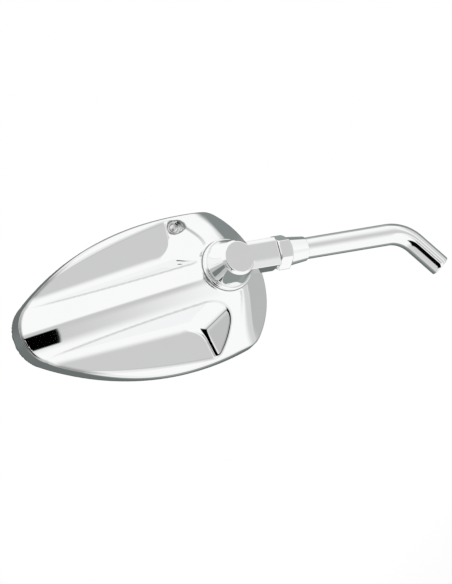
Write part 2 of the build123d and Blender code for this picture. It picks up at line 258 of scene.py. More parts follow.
@dataclass(frozen=True)
class Skinner:
    """Draws a closed mesh over a form with a net of cells, then settles it on the true surface."""

    low: Point
    high: Point
    step: Point
    margin: int = 2
    relaxing: int = 3
    settling: int = 4
    probe: float = 0.01
    least_slope: float = 0.01

    def gradient(self, form: Form, points: np.ndarray) -> np.ndarray:
        """Slope of the form, from differences across a small probe.

        Args:
            form: distance function, negative inside.
            points: where it is wanted.

        Returns:
            One slope for each point.
        """
        slope = np.empty_like(points)
        for axis in range(3):
            shift = np.zeros(3)
            shift[axis] = self.probe
            slope[:, axis] = (form(points + shift) - form(points - shift)) / (2 * self.probe)
        return slope

    def settled(self, form: Form, points: np.ndarray) -> np.ndarray:
        """Moves points along the slope until they lie on the surface.

        Args:
            form: distance function, negative inside.
            points: points near the surface.

        Returns:
            Points on the surface.
        """
        for _ in range(self.settling):
            slope = self.gradient(form, points)
            size = np.maximum((slope**2).sum(1), self.least_slope)
            points = points - slope * (form(points) / size)[:, None]
        return points

    def net(self, form: Form) -> tuple[np.ndarray, np.ndarray]:
        """Finds the cells that the surface crosses and joins them into a net.

        Args:
            form: distance function, negative inside.

        Returns:
            Vertices, one for each crossed cell, and faces of four.
        """
        step = np.array(self.step)
        low = np.array(self.low) - self.margin * step
        counts = np.ceil((np.array(self.high) + self.margin * step - low) / step).astype(int) + 1
        axes = [low[i] + step[i] * np.arange(counts[i]) for i in range(3)]
        value = form(np.stack(np.meshgrid(*axes, indexing="ij"), axis=-1))
        around = ((0, 0), (1, 0), (1, 1), (0, 1))
        rings, points = [], []
        for axis in range(3):
            others = [i for i in range(3) if i != axis]
            turned = np.moveaxis(value, axis, 0)
            index = np.argwhere((turned[:-1] < 0) != (turned[1:] < 0))
            start = turned[tuple(index.T)]
            end = turned[tuple((index + (1, 0, 0)).T)]
            corner = np.empty_like(index)
            corner[:, [axis, *others]] = index
            point = low + step * corner
            point[:, axis] += step[axis] * start / (start - end)
            ring = []
            for back, down in around:
                cell = corner.copy()
                cell[:, others[0]] -= back
                cell[:, others[1]] -= down
                ring.append(np.ravel_multi_index(cell.T, counts - 1))
            ring = np.stack(ring, axis=1)
            outward = (start < 0) != (axis == 1)
            rings.append(np.where(outward[:, None], ring, ring[:, ::-1]))
            points.append(np.repeat(point, len(around), axis=0))
        rings, points = np.concatenate(rings), np.concatenate(points)
        _, slot = np.unique(rings.ravel(), return_inverse=True)
        share = np.bincount(slot)
        sums = [np.bincount(slot, weights=points[:, i]) for i in range(3)]
        return np.stack(sums, axis=1) / share[:, None], slot.reshape(-1, len(around))

    def skin(self, form: Form) -> Skin:
        """Draws the mesh.

        Args:
            form: distance function, negative inside.

        Returns:
            The skin, evened out and settled on the surface.
        """
        vertices, faces = self.net(form)
        starts = faces.ravel()
        ends = np.roll(faces, -1, axis=1).ravel()
        share = np.bincount(starts, minlength=len(vertices))[:, None]
        for _ in range(self.relaxing):
            sums = [np.bincount(starts, weights=vertices[ends, i]) for i in range(3)]
            vertices = (vertices + np.stack(sums, axis=1) / share) / 2
            vertices = self.settled(form, vertices)
        slope = self.gradient(form, vertices)
        normals = slope / np.linalg.norm(slope, axis=1, keepdims=True)
        return Skin(vertices, faces, normals)


def strip_faces(rows: int, columns: int, closed_rows: bool) -> np.ndarray:
    """Faces of a sheet of rows and columns, closed along its columns.

    Args:
        rows: number of rows of vertices.
        columns: number of vertices in each row.
        closed_rows: whether the last row joins the first.

    Returns:
        Faces of four vertices.
    """
    row = np.arange(rows if closed_rows else rows - 1)[:, None]
    column = np.arange(columns)[None, :]
    beside = (column + 1) % columns
    here, after = row * columns, (row + 1) % rows * columns
    corners = np.stack((here + column, here + beside, after + beside, after + column), axis=-1)
    return corners.reshape(-1, corners.shape[-1])


def finish_piece(
    piece: bpy.types.Object, nodes: tuple[str, ...], body: Body, material: bpy.types.Material
) -> bpy.types.Object:
    """Dresses a piece and ties it to its body.

    Args:
        piece: the new object.
        nodes: solids that it stands for.
        body: body that it rides on.
        material: its finish.

    Returns:
        The same object.
    """
    piece.data.materials.append(material)
    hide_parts(*nodes)
    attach(piece, body.value)
    log.info("%s: %d faces on %s", piece.name, len(piece.data.polygons), body.value)
    return piece


# Finishes


class NodeSheet:
    """Short way to lay out the nodes of a material or of the world."""

    def __init__(self, tree: bpy.types.NodeTree) -> None:
        """Starts on a node tree."""
        self.tree = tree

    def node(self, kind: str, **settings: object) -> bpy.types.Node:
        """Adds a node.

        Args:
            kind: type of the node.
            settings: options to set on it.

        Returns:
            The new node.
        """
        made = self.tree.nodes.new(kind)
        for name, value in settings.items():
            setattr(made, name, value)
        return made

    def link(self, source: bpy.types.NodeSocket, target: bpy.types.NodeSocket) -> None:
        """Joins two sockets."""
        self.tree.links.new(source, target)

    def math(self, operation: str, first: Value, second: Value) -> bpy.types.NodeSocket:
        """Works out one value from two.

        Args:
            operation: what is done with them.
            first: number or socket.
            second: number or socket.

        Returns:
            The result.
        """
        made = self.node("ShaderNodeMath", operation=operation)
        for socket, value in zip(made.inputs, (first, second)):
            if isinstance(value, bpy.types.NodeSocket):
                self.link(value, socket)
            else:
                socket.default_value = value
        return made.outputs["Value"]

    def mapped(
        self, value: bpy.types.NodeSocket, source: Span, target: Span = (0.0, 1.0), **settings: object
    ) -> bpy.types.NodeSocket:
        """Maps a value from one span to another, whose ends hold it.

        Args:
            value: socket of the value.
            source: span that it is taken from.
            target: span that it is brought to.
            settings: options of the node.

        Returns:
            The mapped value.
        """
        made = self.node("ShaderNodeMapRange", **settings)
        for name, limit in zip(("From Min", "From Max", "To Min", "To Max"), (*source, *target)):
            made.inputs[name].default_value = limit
        self.link(value, made.inputs["Value"])
        return made.outputs["Result"]


@dataclass(frozen=True)
class PaintedShade:
    """Painted shade on sharp edges and in narrow recesses: the shares of colour that stay and where it
    sets in.
    """

    # Pointiness finds the edges and ambient occlusion finds the recesses; both darken the colour as
    # painted shade.
    painted_edge_shade: float
    painted_recess_shade: float
    edge_shade_span: Span = (0.505, 0.53)
    recess_shade_span: Span = (0.6, 0.2)
    recess_shade_reach: float = 2.5
    samples: int = 8


class Shader(NodeSheet):
    """Nodes of one material around its surface shader."""

    noise_span: ClassVar[Span] = (0.3, 0.7)

    def __init__(self, name: str) -> None:
        """Starts a material with a plain surface shader.

        Args:
            name: name of the material.
        """
        self.material = bpy.data.materials.new(name)
        self.material.use_nodes = True
        super().__init__(self.material.node_tree)
        self.surface = self.tree.nodes["Principled BSDF"]

    def set(self, **values: object) -> None:
        """Sets constants on the surface shader's own sockets."""
        for name, value in values.items():
            self.surface.inputs[name.replace("_", " ").title()].default_value = value

    def noise(self, scale: float, detail: float) -> bpy.types.NodeSocket:
        """Adds a noise over the object's own coordinates.

        Args:
            scale: how often it repeats in a metre.
            detail: number of finer layers.

        Returns:
            Its value socket.
        """
        noise = self.node("ShaderNodeTexNoise")
        noise.inputs["Scale"].default_value = scale
        noise.inputs["Detail"].default_value = detail
        self.link(self.node("ShaderNodeTexCoord").outputs["Object"], noise.inputs["Vector"])
        return noise.outputs["Fac"]

    def ranged(self, noise: bpy.types.NodeSocket, limits: Span) -> bpy.types.NodeSocket:
        """Spreads a noise between two limits."""
        return self.mapped(noise, self.noise_span, limits)

    def blended(self, value: bpy.types.NodeSocket, low: Colour, high: Colour) -> bpy.types.NodeSocket:
        """Blends two colours.

        Args:
            value: share of the second.
            low: first colour.
            high: second colour.

        Returns:
            The blended colour.
        """
        ramp = self.node("ShaderNodeValToRGB")
        for stop, colour in zip(ramp.color_ramp.elements, (low, high)):
            stop.color = (*colour, 1.0)
        self.link(value, ramp.inputs["Fac"])
        return ramp.outputs["Color"]

    def with_painted_shade(self, colour: bpy.types.NodeSocket, painted_shade: PaintedShade) -> bpy.types.NodeSocket:
        """Paints shade into a colour on sharp edges and in narrow recesses.

        Args:
            colour: colour of the open surface.
            painted_shade: how far and where shade is painted.

        Returns:
            The colour with its painted shade.
        """
        # Painted shade: Pointiness darkens sharp edges and ambient occlusion darkens recesses.
        shape = self.node("ShaderNodeNewGeometry")
        hollow = self.node("ShaderNodeAmbientOcclusion", samples=painted_shade.samples)
        hollow.inputs["Distance"].default_value = painted_shade.recess_shade_reach * MM
        for value, span, tone in (
            (shape.outputs["Pointiness"], painted_shade.edge_shade_span, painted_shade.painted_edge_shade),
            (hollow.outputs["AO"], painted_shade.recess_shade_span, painted_shade.painted_recess_shade),
        ):
            darkened = self.node("ShaderNodeVectorMath", operation="SCALE")
            self.link(colour, darkened.inputs[0])
            self.link(self.mapped(value, span, (1.0, tone)), darkened.inputs["Scale"])
            colour = darkened.outputs["Vector"]
        return colour

    def bump(self, value: bpy.types.NodeSocket, depth: float, strength: float) -> None:
        """Raises the surface by a value.

        Args:
            value: height, from nought to one.
            depth: depth in millimetres.
            strength: share of the effect.
        """
        bump = self.node("ShaderNodeBump")
        bump.inputs["Strength"].default_value = strength
        bump.inputs["Distance"].default_value = depth * MM
        self.link(value, bump.inputs["Height"])
        self.link(bump.outputs["Normal"], self.surface.inputs["Normal"])

    def mixed(
        self, share: bpy.types.NodeSocket, first: bpy.types.NodeSocket, second: bpy.types.NodeSocket
    ) -> bpy.types.NodeSocket:
        """Mixes two shaders.

        Args:
            share: share of the second.
            first: first shader.
            second: second shader.

        Returns:
            The mixed shader.
        """
        mix = self.node("ShaderNodeMixShader")
        for socket, value in zip(mix.inputs, (share, first, second)):
            self.link(value, socket)
        return mix.outputs["Shader"]


@dataclass(frozen=True)
class Metal:
    """Bare or plated metal, with a faint cloudiness in its polish, perhaps a grain and perhaps painted
    shade on edges and in recesses.
    """

    name: str
    tint: Colour
    shade: Colour
    polish: Span
    cloud_scale: float = 60.0
    cloud_detail: float = 3.0
    grain_depth: float = 0.0
    grain_fineness: float = 12.0
    grain_detail: float = 2.0
    grain_strength: float = 0.4
    painted_shade: PaintedShade | None = None

    def material(self) -> bpy.types.Material:
        """Makes the material.

        Returns:
            The new material.
        """
        shader = Shader(self.name)
        shader.set(metallic=1.0)
        cloud = shader.noise(self.cloud_scale, self.cloud_detail)
        colour = shader.blended(cloud, self.shade, self.tint)
        # Painted shade on sharp edges and in recesses, where the finish asks for it.
        if self.painted_shade:
            colour = shader.with_painted_shade(colour, self.painted_shade)
        shader.link(colour, shader.surface.inputs["Base Color"])
        shader.link(shader.ranged(cloud, self.polish), shader.surface.inputs["Roughness"])
        if self.grain_depth:
            grain = shader.noise(self.cloud_scale * self.grain_fineness, self.grain_detail)
            shader.bump(grain, self.grain_depth, self.grain_strength)
        return shader.material


@dataclass(frozen=True)
class Moulded:
    """Moulded rubber, plastic or foam, with a fine pebbled skin."""

    name: str
    tint: Colour
    shade: Colour
    roughness: Span
    pebble_scale: float
    pebble_depth: float
    pebble_detail: float = 3.0
    pebble_strength: float = 0.5
    sheen: float = 0.0

    def material(self) -> bpy.types.Material:
        """Makes the material.

        Returns:
            The new material.
        """
        shader = Shader(self.name)
        shader.set(metallic=0.0, sheen_weight=self.sheen)
        pebble = shader.noise(self.pebble_scale, self.pebble_detail)
        shader.link(shader.blended(pebble, self.shade, self.tint), shader.surface.inputs["Base Color"])
        shader.link(shader.ranged(pebble, self.roughness), shader.surface.inputs["Roughness"])
        shader.bump(pebble, self.pebble_depth, self.pebble_strength)
        return shader.material


CHROME_TINT = (0.955, 0.958, 0.96)
CHROME_SHADE = (0.93, 0.934, 0.938)
BRIGHT = (0.015, 0.025)
# Painted shade: the shell's chrome is darkened on sharp edges and in recesses, the other chrome parts only
# in recesses.
SHELL_CHROME = Metal("shell_chrome", CHROME_TINT, CHROME_SHADE, BRIGHT, painted_shade=PaintedShade(0.3, 0.3))
PART_CHROME = Metal("part_chrome", CHROME_TINT, CHROME_SHADE, BRIGHT, painted_shade=PaintedShade(1.0, 0.7))
STEM_CHROME = Metal("stem_chrome", CHROME_TINT, CHROME_SHADE, (0.05, 0.075))
SCREW_STEEL = Metal("screw_steel", (0.82, 0.82, 0.83), (0.74, 0.74, 0.75), (0.12, 0.2), 300.0)
PLATED_STEEL = Metal(
    "plated_steel", (0.62, 0.62, 0.6), (0.5, 0.5, 0.49), (0.28, 0.4), 250.0, grain_depth=0.04
)
SPRING_STEEL = Metal(
    "spring_steel", (0.4, 0.4, 0.42), (0.3, 0.3, 0.32), (0.3, 0.42), 220.0, grain_depth=0.04
)
BRONZE = Metal("bronze", (0.66, 0.45, 0.22), (0.5, 0.33, 0.16), (0.3, 0.45), 200.0, grain_depth=0.05)
SILVERED_GLASS = Metal("silvered_glass", (0.9, 0.915, 0.92), (0.88, 0.9, 0.905), (0.01, 0.02), 25.0)
BLACK_RUBBER = Moulded(
    "black_rubber", (0.024, 0.024, 0.025), (0.014, 0.014, 0.015), (0.5, 0.65), 1600.0, 0.06
)
BLACK_PLASTIC = Moulded(
    "black_plastic", (0.03, 0.03, 0.032), (0.018, 0.018, 0.02), (0.4, 0.55), 900.0, 0.06
)
NYLON = Moulded("nylon", (0.72, 0.72, 0.68), (0.62, 0.62, 0.58), (0.4, 0.5), 700.0, 0.03)
FOAM = Moulded("foam", (0.09, 0.09, 0.095), (0.05, 0.05, 0.055), (0.85, 0.95), 1400.0, 0.2, sheen=0.2)


# Pieces drawn over their forms


class FormedPiece:
    """Metal piece that is drawn over its distance function."""

    name: ClassVar[str]
    node: ClassVar[str]
    slot: ClassVar[str]
    body: ClassVar[Body]
    step: Point

    def form(self, points: np.ndarray) -> np.ndarray:
        """Distance outside the piece."""
        raise NotImplementedError

    def extent(self) -> tuple[Point, Point]:
        """Lowest and highest corner of the box round the piece."""
        raise NotImplementedError

    def build(self, place: Placement, finish: Metal) -> bpy.types.Object:
        """Draws the piece and dresses it.

        Args:
            place: frame that the piece is drawn in.
            finish: its metal.

        Returns:
            The piece's object.
        """
        low, high = self.extent()
        piece = Skinner(low, high, self.step).skin(self.form).drawn(self.name, place)
        return finish_piece(piece, (self.node,), self.body, finish.material())


# Head


@dataclass(frozen=True)
class Teardrop:
    """Outline of the head: tip, sides, corners and wide end are arcs that touch."""

    tip_reach: float = 126.8
    tip_r: float = 19.0
    end_reach: float = 29.3
    end_r: float = 50.0
    corner_r: float = 13.0
    half_width: float = 42.8
    widest_at: float = 26.0
    walk_fineness: int = 40
    walk_rounds: int = 60

    @property
    def tip(self) -> np.ndarray:
        """Centre of the tip's arc."""
        return np.array((self.tip_reach - self.tip_r, 0.0))

    @property
    def side_r(self) -> float:
        """Radius of the long side arcs."""
        run = self.tip[0] - self.widest_at
        return (run**2 + self.half_width**2 - self.tip_r**2) / (2 * (self.half_width - self.tip_r))

    @property
    def side(self) -> np.ndarray:
        """Centre of the arc on the side where y is positive."""
        return np.array((self.widest_at, self.half_width - self.side_r))

    @property
    def end(self) -> np.ndarray:
        """Centre of the wide end's arc."""
        return np.array((self.end_r - self.end_reach, 0.0))

    @property
    def corner(self) -> np.ndarray:
        """Centre of the corner where y is positive.

        Returns:
            The point from which the corner's arc touches the side and the wide end.
        """
        first_r, second_r = self.side_r - self.corner_r, self.end_r - self.corner_r
        span = self.end - self.side
        gap = np.hypot(*span)
        along = (gap**2 + first_r**2 - second_r**2) / (2 * gap)
        across = math.sqrt(first_r**2 - along**2)
        ux, uy = span / gap
        return self.side + (ux * along - uy * across, uy * along + ux * across)

    def gap(self, x: np.ndarray, y: np.ndarray) -> np.ndarray:
        """Distance outside the outline, negative inside.

        Args:
            x: distance towards the tip.
            y: distance to the side.

        Returns:
            Distance from the nearest arc.
        """
        y = np.abs(y)

        def left_of(start: np.ndarray, end: np.ndarray) -> np.ndarray:
            """Which points lie left of the line from start to end."""
            run, rise = end - start
            return run * (y - start[1]) - rise * (x - start[0]) > 0

        def from_arc(centre: np.ndarray, radius: float) -> np.ndarray:
            """Distance outside an arc."""
            return np.hypot(x - centre[0], y - centre[1]) - radius

        at_side, at_tip = from_arc(self.side, self.side_r), from_arc(self.tip, self.tip_r)
        at_end, at_corner = from_arc(self.end, self.end_r), from_arc(self.corner, self.corner_r)
        ahead = np.where(left_of(self.side, self.tip), at_side, at_tip)
        behind = np.where(left_of(self.end, self.corner), at_end, at_corner)
        return np.where(left_of(self.side, self.corner), behind, ahead)

    def path(self, count: int) -> tuple[np.ndarray, np.ndarray]:
        """Walks round the outline.

        Args:
            count: number of points.

        Returns:
            Points on the outline and their outward directions.
        """
        turn = np.linspace(0, 2 * math.pi, self.walk_fineness * count, endpoint=False)
        middle = np.array(((self.tip_reach - self.end_reach) / 2, 0.0))
        ray = np.stack((np.cos(turn), np.sin(turn)), axis=1)
        reach = np.full(len(turn), self.tip_reach)
        for _ in range(self.walk_rounds):
            spot = middle + ray * reach[:, None]
            reach = reach - self.gap(spot[:, 0], spot[:, 1])
        spot = middle + ray * reach[:, None]
        length = np.concatenate(((0,), np.cumsum(np.hypot(*np.diff(spot, axis=0).T))))
        even = np.interp(np.linspace(0, length[-1], count, endpoint=False), length, np.arange(len(spot)))
        points = spot[np.round(even).astype(int)]
        along = np.roll(points, -1, axis=0) - np.roll(points, 1, axis=0)
        along = along / np.hypot(*along.T)[:, None]
        return points, np.stack((along[:, 1], -along[:, 0]), axis=1)


@dataclass
class HeadShell(FormedPiece):
    """Chromed back of the head: crowned spine between two scoops, with the pivot's seat."""

    name: ClassVar[str] = "shell_back"
    node: ClassVar[str] = "mirror_shell"
    slot: ClassVar[str] = "chrome_shell"
    body: ClassVar[Body] = Body.HEAD

    outline: Teardrop = Teardrop()
    wall: float = 2.5
    rim_height: float = 8.2
    spine_height: float = 25.8
    spine_tip_height: float = 9.6
    crest_r: float = 900.0
    crown_r: float = 58.0
    end_slope: float = 50.0
    rim_flare: float = 0.7
    scoop_end: float = 17.9
    scoop_end_lean: float = 8.0
    scoop_inner: float = 19.3
    scoop_corner_r: float = 18.0
    scoop_taper: float = 2.0
    scoop_end_slope: float = 42.0
    scoop_side_slope: float = 27.0
    scoop_fillet: float = 7.0
    scoop_least_reach: float = 0.4
    pivot_side: float = -Layout.pivot_off_axis
    seat_height: float = 26.2
    seat_r: float = 14.9
    boss_r: float = 10.0
    boss_bottom: float = 21.2
    bore_r: float = 6.05
    screw_at: Span = (13.0, -35.5)
    screw_pocket_r: float = 3.7
    screw_seat_top: float = 7.6
    screw_hole_r: float = 1.8
    rim_round: float = 1.1
    lip_round: float = 0.4
    pocket_round: float = 0.2
    crease_round: float = 0.6
    end_round: float = 2.5
    seat_fillet: float = 1.0
    step: Point = (0.8, 0.45, 0.55)

    def crown_gap(self, x: np.ndarray, y: np.ndarray, z: np.ndarray) -> np.ndarray:
        """Distance above the crowned back, whose crest falls in an arc from pivot to tip.

        Args:
            x: distance towards the tip.
            y: distance to the side.
            z: height above the glass plane.

        Returns:
            Distance from the crown, negative below.
        """
        tip_reach = self.outline.tip_reach
        drop = self.spine_height - self.spine_tip_height
        chord = math.hypot(tip_reach, drop)
        depth = math.sqrt(self.crest_r**2 - (chord / 2) ** 2)
        centre_x = tip_reach / 2 - drop / chord * depth
        centre_z = self.spine_height - drop / 2 - tip_reach / chord * depth
        ring = np.hypot(x - centre_x, z - centre_z) - (self.crest_r - self.crown_r)
        return np.hypot(ring, y) - self.crown_r

    def end_gap(self, x: np.ndarray, y: np.ndarray, z: np.ndarray) -> np.ndarray:
        """Distance outside the sloped end wall, which is part of a cone.

        Args:
            x: distance towards the tip.
            y: distance to the side.
            z: height above the glass plane.

        Returns:
            Distance from the cone, far inside it on the tip's side.
        """
        slope = math.radians(self.end_slope)
        centre = self.outline.end[0]
        radius = self.outline.end_r - (z - self.rim_height) * math.tan(slope)
        gap = (np.hypot(x - centre, y) - radius) * math.cos(slope)
        return np.where(x < centre, gap, -self.outline.end_r)

    def scoop_gap(self, x: np.ndarray, y: np.ndarray, z: np.ndarray) -> np.ndarray:
        """Distance outside the hollow of a scoop on the side where y is positive.

        Args:
            x: distance towards the tip.
            y: distance to the side.
            z: height above the glass plane.

        Returns:
            Distance from its end wall, side wall and floor, with their rounds.
        """
        lean, taper = math.radians(self.scoop_end_lean), math.radians(self.scoop_taper)
        end_slope, side_slope = math.radians(self.scoop_end_slope), math.radians(self.scoop_side_slope)
        height = z - self.rim_height
        beyond_end, beyond_side = self.scoop_end - x, self.scoop_inner - y
        end = beyond_end * math.cos(lean) + beyond_side * math.sin(lean)
        end = end * math.cos(end_slope) - height * math.sin(end_slope)
        side = beyond_end * math.sin(taper) + beyond_side * math.cos(taper)
        side = side * math.cos(side_slope) - height * math.sin(side_slope)
        cosine = math.cos(end_slope) * math.cos(side_slope) * math.sin(lean + taper)
        cosine += math.sin(end_slope) * math.sin(side_slope)
        wall = rounded_corner(end, side, self.scoop_corner_r, cosine)
        end_share = end + self.scoop_corner_r - cosine * (side + self.scoop_corner_r)
        side_share = side + self.scoop_corner_r - cosine * (end + self.scoop_corner_r)
        in_round = (end_share > 0) & (side_share > 0)
        rise = end_share * math.sin(end_slope) + side_share * math.sin(side_slope)
        reach = np.maximum((wall + self.scoop_corner_r) * (1 - cosine**2), self.scoop_least_reach)
        rise = rise / reach
        plain = np.where(end > side, math.sin(end_slope), math.sin(side_slope))
        return rounded_corner(wall, -height, self.scoop_fillet, np.where(in_round, rise, plain))

    def rim_gap(self, x: np.ndarray, y: np.ndarray, z: np.ndarray) -> np.ndarray:
        """Distance outside the rim wall, which flares a little towards the glass."""
        flare = self.rim_flare * np.clip(1 - z / self.rim_height, 0, 1)
        return self.outline.gap(x, y) - flare

    def top_gap(self, x: np.ndarray, y: np.ndarray, z: np.ndarray) -> np.ndarray:
        """Distance above the back: its crown, end wall and scoops."""
        top = round_max(self.crown_gap(x, y, z), self.end_gap(x, y, z), self.end_round)
        return round_max(top, -self.scoop_gap(x, np.abs(y), z), self.crease_round)

    def form(self, points: np.ndarray) -> np.ndarray:
        """Distance outside the hollow shell.

        Args:
            points: points in the head's frame.

        Returns:
            One distance for each point, negative inside the metal.
        """
        x, y, z = np.moveaxis(points, -1, 0)
        from_pivot = np.hypot(x, y - self.pivot_side)
        from_screw = np.hypot(x - self.screw_at[0], y - self.screw_at[1])
        top = self.top_gap(x, y, z)
        skin = round_max(top, self.rim_gap(x, y, z), self.rim_round)
        pocket = np.maximum(from_screw - self.screw_pocket_r, self.screw_seat_top - z)
        skin = round_max(skin, -pocket, self.pocket_round)
        seat = round_max(from_pivot - self.seat_r, z - self.seat_height, self.lip_round)
        skin = round_min(skin, np.maximum(seat, self.rim_height - z), self.seat_fillet)
        skin = round_max(skin, -z, self.lip_round)
        column = np.maximum(from_screw - self.screw_pocket_r - self.wall, self.rim_height - self.wall - z)
        hollow = np.maximum(np.maximum(top, self.outline.gap(x, y)) + self.wall, -column)
        skin = np.maximum(skin, -hollow)
        boss = np.maximum(from_pivot - self.boss_r, np.maximum(self.boss_bottom - z, z - self.seat_height))
        skin = np.minimum(skin, boss)
        skin = np.maximum(skin, self.bore_r - from_pivot)
        return np.maximum(skin, self.screw_hole_r - from_screw)

    def extent(self) -> tuple[Point, Point]:
        """Box round the shell.

        Returns:
            Its lowest and its highest corner.
        """
        outline, flare = self.outline, self.rim_flare
        low = (-outline.end_reach - flare, -outline.half_width - flare, 0.0)
        high = (outline.tip_reach + flare, outline.half_width + flare, self.seat_height)
        return low, high


@dataclass
class BaseRing(FormedPiece):
    """Turned ring between the shell's seat and the knuckle."""

    name: ClassVar[str] = "pivot_ring"
    node: ClassVar[str] = "base_ring"
    slot: ClassVar[str] = "chrome_ring"
    body: ClassVar[Body] = Body.HEAD

    outer_r: float = 14.6
    inner_r: float = HeadShell.bore_r
    bottom: float = HeadShell.seat_height
    top: float = 29.2
    bevel: float = 0.6
    edge_round: float = 0.15
    step: Point = (0.4, 0.4, 0.2)

    def form(self, points: np.ndarray) -> np.ndarray:
        """Distance outside the ring.

        Args:
            points: points in the pivot's frame.

        Returns:
            One distance for each point.
        """
        x, y, z = np.moveaxis(points, -1, 0)
        radius = np.hypot(x, y)
        bevel = (radius + z - self.outer_r - self.top + self.bevel) / math.sqrt(2)
        wall = round_max(radius - self.outer_r, bevel, self.edge_round)
        solid = round_max(wall, z - self.top, self.edge_round)
        solid = round_max(solid, self.bottom - z, self.edge_round)
        return np.maximum(solid, self.inner_r - radius)

    def extent(self) -> tuple[Point, Point]:
        """Lowest and highest corner of the box round the ring."""
        reach = self.outer_r
        return (-reach, -reach, self.bottom), (reach, reach, self.top)


@dataclass
class CarrierScrew(FormedPiece):
    """Button headed screw with a hexagon socket, in a pocket at the end of one scoop."""

    name: ClassVar[str] = "screw"
    node: ClassVar[str] = "carrier_screw"
    slot: ClassVar[str] = "screw_steel"
    body: ClassVar[Body] = Body.HEAD

    at: Span = HeadShell.screw_at
    seat: float = HeadShell.screw_seat_top
    head_r: float = 2.85
    head_height: float = 1.65
    shank_r: float = 1.5
    shank_bottom: float = 3.75
    socket_flats: float = 2.0
    socket_depth: float = 1.0
    edge_round: float = 0.15
    step: Point = (0.16, 0.16, 0.16)

    def form(self, points: np.ndarray) -> np.ndarray:
        """Distance outside the screw.

        Args:
            points: points about the screw's own axis.

        Returns:
            One distance for each point.
        """
        x, y, z = np.moveaxis(points, -1, 0)
        radius = np.hypot(x, y)
        crest = self.seat + self.head_height
        dome_r = (self.head_r**2 + self.head_height**2) / (2 * self.head_height)
        dome = np.hypot(radius, z - crest + dome_r) - dome_r
        head = round_max(dome, self.seat - z, self.edge_round)
        flats = np.max(across_flats(x, y, self.socket_flats), axis=0)
        socket = np.maximum(flats, crest - self.socket_depth - z)
        head = round_max(head, -socket, self.edge_round)
        shank = np.maximum(radius - self.shank_r, np.maximum(self.shank_bottom - z, z - self.seat))
        return np.minimum(head, shank)

    def extent(self) -> tuple[Point, Point]:
        """Lowest and highest corner of the box round the screw."""
        reach = self.head_r
        return (-reach, -reach, self.shank_bottom), (reach, reach, self.seat + self.head_height)

    def build(self, place: Placement, finish: Metal) -> bpy.types.Object:
        """Draws the screw about its own axis in the head's frame and dresses it."""
        return super().build(place.moved((*self.at, 0.0)), finish)


@dataclass
class GlassSeal:
    """Rubber ring round the glass, with a rounded lip over its front edge."""

    outline: Teardrop = Teardrop()
    outer_inset: float = 2.55
    lip_width: float = 3.0
    lip_thickness: float = 0.6
    web: float = 1.4
    height: float = 3.2
    edge_round: float = 0.25
    round_steps: int = 3
    count: int = 480

    def section(self) -> np.ndarray:
        """Section of the ring, with its corners rounded.

        Returns:
            Points as inset from the outline and height above the glass plane.
        """
        outer, inner = self.outer_inset, self.outer_inset + self.lip_width
        web, lip = self.outer_inset + self.web, self.lip_thickness
        top = self.height
        corners = np.array(((outer, 0), (inner, 0), (inner, lip), (web, lip), (web, top), (outer, top)))
        before = np.roll(corners, 1, axis=0) - corners
        after = np.roll(corners, -1, axis=0) - corners
        before = before / np.hypot(*before.T)[:, None]
        after = after / np.hypot(*after.T)[:, None]
        points = []
        for corner, back, ahead in zip(corners, before, after):
            for share in np.linspace(0, 1, self.round_steps + 1):
                bend = back * (1 - share) ** 2 + ahead * share**2
                points.append(corner + bend * self.edge_round)
        return np.array(points)

    def build(self, place: Placement, finish: Moulded) -> bpy.types.Object:
        """Sweeps the section round the head and dresses it.

        Args:
            place: frame of the head.
            finish: its rubber.

        Returns:
            The seal's object.
        """
        path, outward = self.outline.path(self.count)
        section = self.section()
        plan = path[None] - outward[None] * section[:, 0][:, None, None]
        height = np.broadcast_to(section[:, 1][:, None, None], plan.shape[:2] + (1,))
        vertices = np.concatenate((plan, height), axis=-1).reshape(-1, 3)
        faces = strip_faces(len(section), self.count, True)
        piece = smooth_piece("seal", place.points(vertices), faces)
        return finish_piece(piece, ("glass_seal",), Body.HEAD, finish.material())


# Arm and stem


